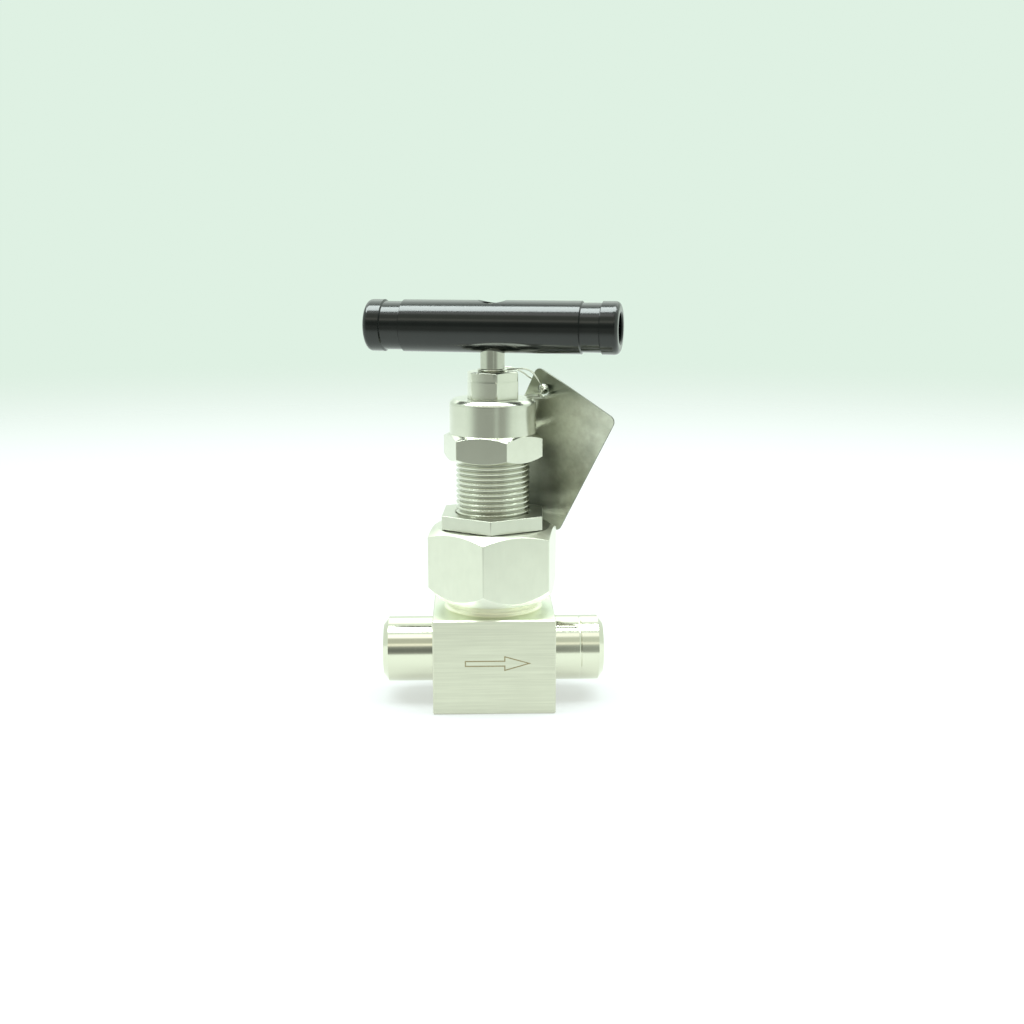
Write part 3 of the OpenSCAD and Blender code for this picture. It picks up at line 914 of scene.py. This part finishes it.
def body_material():
    """The block is brushed along X, the stubs are turned about the flow axis, the neck is plain. The
    stubs, the block's top and the neck also carry painted light in their tone, less of it where the
    union nut shades the top.
    """
    flow_z, block_top, neck_r, past_block = 14.4, (27.5, 27.58), (14.3, 14.4), 0.02
    material, g = new_material("body")
    place = g.split(g.position())
    lines = g.noise(g.stretched((60, 3000, 3000)))
    rings = g.noise(g.turned("X", (0, 0, flow_z * MM), 1500, 1800), detail=3, roughness=0.6)
    cloud = g.noise(g.position(), scale=180, detail=4)
    sideways = g.calculate("ABSOLUTE", place["X"])
    on_stub = g.calculate("GREATER_THAN", sideways, (block_half + past_block) * MM)
    from_axis = g.from_z_axis()
    above_block = g.ranged(place["Z"], 0, 1, block_top[0] * MM, block_top[1] * MM)
    within_neck = g.ranged(from_axis, 1, 0, neck_r[0] * MM, neck_r[1] * MM)
    on_neck = g.calculate("MULTIPLY", above_block, within_neck)
    height = g.mixed(on_stub, lines, stub_height(g, rings, place["X"]))
    marks = g.calculate("MULTIPLY", height, g.ranged(on_neck, 1, 0, 0, 1))
    plain = (0.575, 0.57, 0.475)
    tone = g.blend(g.ranged(cloud, 0, 1), shade(plain, 0.96), plain)
    tone = g.blend(g.ranged(lines, 0, 0.8), tone, shade(plain, 0.86))
    # Painted light: the stubs are a lighter copy of the body's tone, standing in for the floor light
    # they reflect.
    tone = g.blend(on_stub, tone, shade(plain, 1.07))
    # Painted light and shade on the block's top: it is lightened, least near the union nut, which
    # shades it and is seen in it, and most towards the corners.
    near_corner = g.ranged(from_axis, 0, 1, 20 * MM, 22.5 * MM)
    painted_top_light_and_shade = g.blend(near_corner, (0.72, 0.76, 0.64), (0.97, 0.98, 0.86))
    tone = g.blend(above_block, tone, painted_top_light_and_shade)
    # Painted light: the neck under the union nut is lightened to stand in for the light that bounces
    # round inside.
    tone = g.blend(on_neck, tone, (0.95, 0.94, 0.82))
    rough = g.mixed(on_stub, g.ranged(lines, 0.29, 0.38), g.ranged(rings, 0.1, 0.15))
    g.finish(tone, rough, g.bump(marks, 0.0025))
    return material


set_cad_material("body", body_material())


def etched():
    """The dull brown grain of an etched line."""
    material, g = new_material("etched_line")
    grain = g.noise(g.position(), scale=5000, detail=3)
    tone = g.blend(g.ranged(grain, 0, 1), (0.22, 0.18, 0.1), (0.34, 0.29, 0.17))
    g.finish(tone, g.ranged(grain, 0.4, 0.6), g.bump(grain, 0.003), metallic=0.4)
    return material


set_material(arrow, etched())


def black_anodised():
    """Black coating with a fine grain and faint clouds."""
    material, g = new_material("black_handle")
    grain = g.noise(g.position(), scale=4500, detail=3)
    cloud = g.noise(g.position(), scale=160, detail=4)
    tone = g.blend(g.ranged(cloud, 0, 1), (0.0012, 0.002, 0.0016), (0.003, 0.0042, 0.0036))
    rough = g.ranged(grain, 0.12, 0.18)
    g.finish(tone, rough, g.bump(grain, 0.0006), metallic=0.0, IOR=1.5)
    return material


handle_black = black_anodised()
set_cad_material("bar_handle", handle_black)
set_cad_material("handle_set_screw", handle_black)


def packing_white():
    """White plastic packing."""
    material, g = new_material("packing")
    grain = g.noise(g.position(), scale=2500, detail=3)
    tone = g.blend(g.ranged(grain, 0, 1), (0.82, 0.82, 0.78), (0.9, 0.9, 0.86))
    g.finish(tone, g.ranged(grain, 0.4, 0.5), g.bump(grain, 0.002), metallic=0.0)
    return material


packing = packing_white()
for node in ("packing_ring_lower", "packing_ring_middle", "packing_ring_upper"):
    set_cad_material(node, packing)


def tag_steel():
    """Dull rolled sheet: cloudy stains and fine rolling lines.
    Painted shade makes it darker at its inner, lower and upper zones, and where the sheet turns away
    from its face."""
    tag_face = tag_frame.to_3x3() @ Vector((0, 0, 1))
    material, g = new_material("tag_sheet")
    stains = g.noise(g.position(), scale=110, detail=5, roughness=0.6)
    small = g.noise(g.position(), scale=600, detail=4)
    rolled = g.noise(g.stretched((400, 400, 4200)), detail=3)
    tone = g.blend(g.ranged(stains, 0, 1, 0.38, 0.62), (0.44, 0.45, 0.38), (0.64, 0.65, 0.56))
    tone = g.blend(g.ranged(small, 0, 0.3), tone, (0.35, 0.32, 0.26))
    place = g.split(g.position())
    # Painted shade: the inner, lower zone is darkened, standing in for the shade and dark reflection of
    # the valve beside it.
    inner_edge = g.ranged(place["X"], 1, 0, 14 * MM, 22.5 * MM)
    lower_end = g.ranged(place["Z"], 1, 0, 56 * MM, 92 * MM)
    tone = g.blend(g.calculate("MULTIPLY", inner_edge, lower_end), tone, (0.11, 0.116, 0.1))
    # Painted shade on the upper zone, the bent flap round the hole.
    painted_flap_shade = g.ranged(place["Z"], 0, 0.75, 87.5 * MM, 90 * MM)
    tone = g.blend(painted_flap_shade, tone, (0.2, 0.22, 0.175))
    # Painted shade where the sheet turns away from its face: its edges, crease and curl.
    normal = g.add("ShaderNodeTexCoord").outputs["Normal"]
    flatness = g.calculate("ABSOLUTE", g.vector("DOT_PRODUCT", normal, tag_face))
    tone = g.blend(g.ranged(flatness, 1, 0, 0.45, 0.65), tone, (0.1, 0.105, 0.085))
    rough = g.calculate("ADD", g.ranged(stains, 0.3, 0.36), g.ranged(rolled, -0.01, 0.03))
    g.finish(tone, rough, g.bump(rolled, 0.0006, under=g.bump(stains, 0.006)))
    return material


set_material(tag_plate, tag_steel())


def drawn_wire():
    """Bright drawn wire, with painted shade on the low side of its knot."""
    material, g = new_material("drawn_wire")
    fine = g.noise(g.stretched((3000, 3000, 3000)), detail=1)
    tone = g.blend(g.ranged(fine, 0, 1), shade(STEEL, 0.88), STEEL)
    offset = g.vector("SUBTRACT", g.position(), knot_centre * MM)
    downwards = g.vector("DOT_PRODUCT", offset, (0.74, 0, -0.67))
    painted_shade_side = g.ranged(downwards, 0, 1, 0, 0.4 * MM)
    near_knot = g.ranged(g.vector("LENGTH", offset), 1, 0, 1.7 * MM, 2 * MM)
    # Painted shade on the low side of the knot.
    tone = g.blend(g.calculate("MULTIPLY", painted_shade_side, near_knot), tone, (0.17, 0.19, 0.14))
    g.finish(tone, g.ranged(fine, 0.235, 0.26), g.bump(fine, 0.001))
    return material


set_material(tag_wire, drawn_wire())

# ---------------------------------------------------------------- floor, world and lights


def disc(rings, spokes, radius, z):
    """Points and faces of a flat disc, in metres."""
    points = [(0, 0, z)]
    for r in range(1, rings + 1):
        for k in range(spokes):
            a = 2 * PI * k / spokes
            points.append((radius * r / rings * math.cos(a), radius * r / rings * math.sin(a), z))
    faces = [(0, 1 + k, 1 + (k + 1) % spokes) for k in range(spokes)]
    for r in range(rings - 1):
        for k in range(spokes):
            j = (k + 1) % spokes
            low = 1 + r * spokes
            high = low + spokes
            faces.append((low + k, high + k, high + j, low + j))
    return points, faces


def glowing_cloth(g, colour, glow_colour, glow_strength):
    """A matt surface that also gives off light of its own."""
    cloth = g.add("ShaderNodeBsdfDiffuse")
    cloth.inputs["Color"].default_value = (*colour, 1)
    glow = g.add("ShaderNodeEmission")
    glow.inputs["Color"].default_value = (*glow_colour, 1)
    glow.inputs["Strength"].default_value = glow_strength
    both = g.add("ShaderNodeAddShader")
    g.join(cloth.outputs[0], both.inputs[0])
    g.join(glow.outputs[0], both.inputs[1])
    return both.outputs[0]


def floor_material():
    """Pale cloth that fades into the background far from the object.
    Reflections see it in a brighter tone than the camera does, and don't see its front part."""
    front_starts, front_ends = -0.09, -0.34
    fade_starts, fade_ends = 0.4, 1.25
    material, g = new_material("floor")
    to_camera = g.add("ShaderNodeLightPath").outputs["Is Camera Ray"]
    in_reflections = glowing_cloth(g, (0.19, 0.2, 0.19), (0.92, 1.0, 0.95), 0.86)
    in_view = glowing_cloth(g, (0.21, 0.21, 0.225), (0.95, 1.0, 0.93), 0.57)
    cloth = g.choose(to_camera, in_reflections, in_view)
    in_front = g.smooth(g.split(g.position())["Y"], front_starts, front_ends)
    not_to_camera = g.calculate("SUBTRACT", 1, to_camera)
    clear = g.add("ShaderNodeBsdfTransparent").outputs[0]
    cloth = g.choose(g.calculate("MULTIPLY", in_front, not_to_camera), cloth, clear)
    far_off = g.smooth(g.vector("LENGTH", g.position()), fade_starts, fade_ends)
    g.show(g.choose(far_off, cloth, clear))
    return material


def pale_floor():
    """A pale disc just below the object, so that the two don't touch."""
    points, faces = disc(rings=12, spokes=96, radius=1.6, z=-0.0001)
    mesh = bpy.data.meshes.new("floor")
    mesh.from_pydata(points, [], faces)
    mesh.materials.append(floor_material())
    floor = bpy.data.objects.new("floor", mesh)
    bpy.context.scene.collection.objects.link(floor)
    return floor


pale_floor()


TENT = (0.83, 0.95, 0.85)
BOOST = 1.2  # The surroundings are this much brighter in reflections than their colours say.


def height_bands(g, up):
    """The opening's colour by height: a ramp over the elevation of a direction, in degrees."""
    dim = (0.385, 0.42, 0.375)
    dark = (0.2, 0.22, 0.2)
    strip = (1.2, 1.22, 1.05)
    pane = (1.6, 1.62, 1.55)
    ceiling = (0.6, 0.64, 0.54)
    beam = (0.8, 0.92, 0.84)
    stops = [
        (-90, TENT), (-14, dim), (-2, dim), (4, dark), (14, dark), (22, dim), (26.5, strip),
        (31, strip), (34, ceiling), (50, ceiling), (55, pane), (65, pane), (68, beam), (74, beam),
        (90, TENT),
    ]
    node = g.add("ShaderNodeValToRGB")
    ramp = node.color_ramp
    while len(ramp.elements) < len(stops):
        ramp.elements.new(0.5)
    for element, (degrees, colour) in zip(ramp.elements, stops):
        element.position = 0.5 + 0.5 * math.sin(math.radians(degrees))
        element.color = (*colour, 1)
    g.join(g.ranged(up, 0, 1, -1, 1), node.inputs["Fac"])
    return node.outputs["Color"]


def studio_world():
    """A pale tent with a dim opening at the front and a brighter band behind.
    The background itself stays one plain pale colour."""
    world = bpy.data.worlds.new("studio")
    bpy.context.scene.world = world
    g = Graph(world)
    direction = g.add("ShaderNodeTexCoord").outputs["Generated"]
    up = g.split(direction)["Z"]
    level = g.vector("NORMALIZE", g.vector("MULTIPLY", direction, (1, 1, 0)))
    facing = g.vector("DOT_PRODUCT", level, (-0.12, -0.9928, 0))
    opening = g.smooth(facing, 0.45, 0.87)
    behind = g.smooth(facing, -0.15, -0.75)
    band = g.calculate("MULTIPLY", g.smooth(up, 0.3, 0.6), g.smooth(up, 0.94, 0.86))
    back = g.blend(g.calculate("MULTIPLY", behind, band), TENT, (1.75, 1.95, 1.8))
    post_x, post_half_width, post_strength = 0.155, 0.14, 0.5
    beside_post = g.calculate("ABSOLUTE", g.calculate("SUBTRACT", g.split(level)["X"], post_x))
    post = g.smooth(beside_post, 0, post_half_width, post_strength, 0)
    room = g.blend(post, height_bands(g, up), TENT)
    lit = g.add("ShaderNodeBackground")
    lit.inputs["Strength"].default_value = BOOST
    g.join(g.blend(opening, back, room), lit.inputs["Color"])
    plain = g.add("ShaderNodeBackground")
    plain.inputs["Color"].default_value = (0.737, 0.879, 0.768, 1)
    to_camera = g.add("ShaderNodeLightPath").outputs["Is Camera Ray"]
    g.show(g.choose(to_camera, lit.outputs[0], plain.outputs[0]), "ShaderNodeOutputWorld")


studio_world()


def softbox(name, centre, size, radiance, aim):
    """A rectangular light, in metres, that the camera doesn't see."""
    light = bpy.data.lights.new(name, "AREA")
    light.shape = "RECTANGLE"
    light.size, light.size_y = size
    light.energy = radiance * size[0] * size[1] * PI
    light.color = (0.9, 1.0, 0.98)
    lamp = bpy.data.objects.new(name, light)
    lamp.location = centre
    lamp.rotation_mode = "QUATERNION"
    lamp.rotation_quaternion = (Vector(aim) - Vector(centre)).to_track_quat("-Z", "Y")
    lamp.visible_camera = False
    bpy.context.scene.collection.objects.link(lamp)


softbox("overhead", centre=(0, -0.005, 0.75), size=(1.3, 0.31), radiance=13, aim=(0, -0.005, 0))

bpy.context.scene.view_settings.view_transform = "Standard"
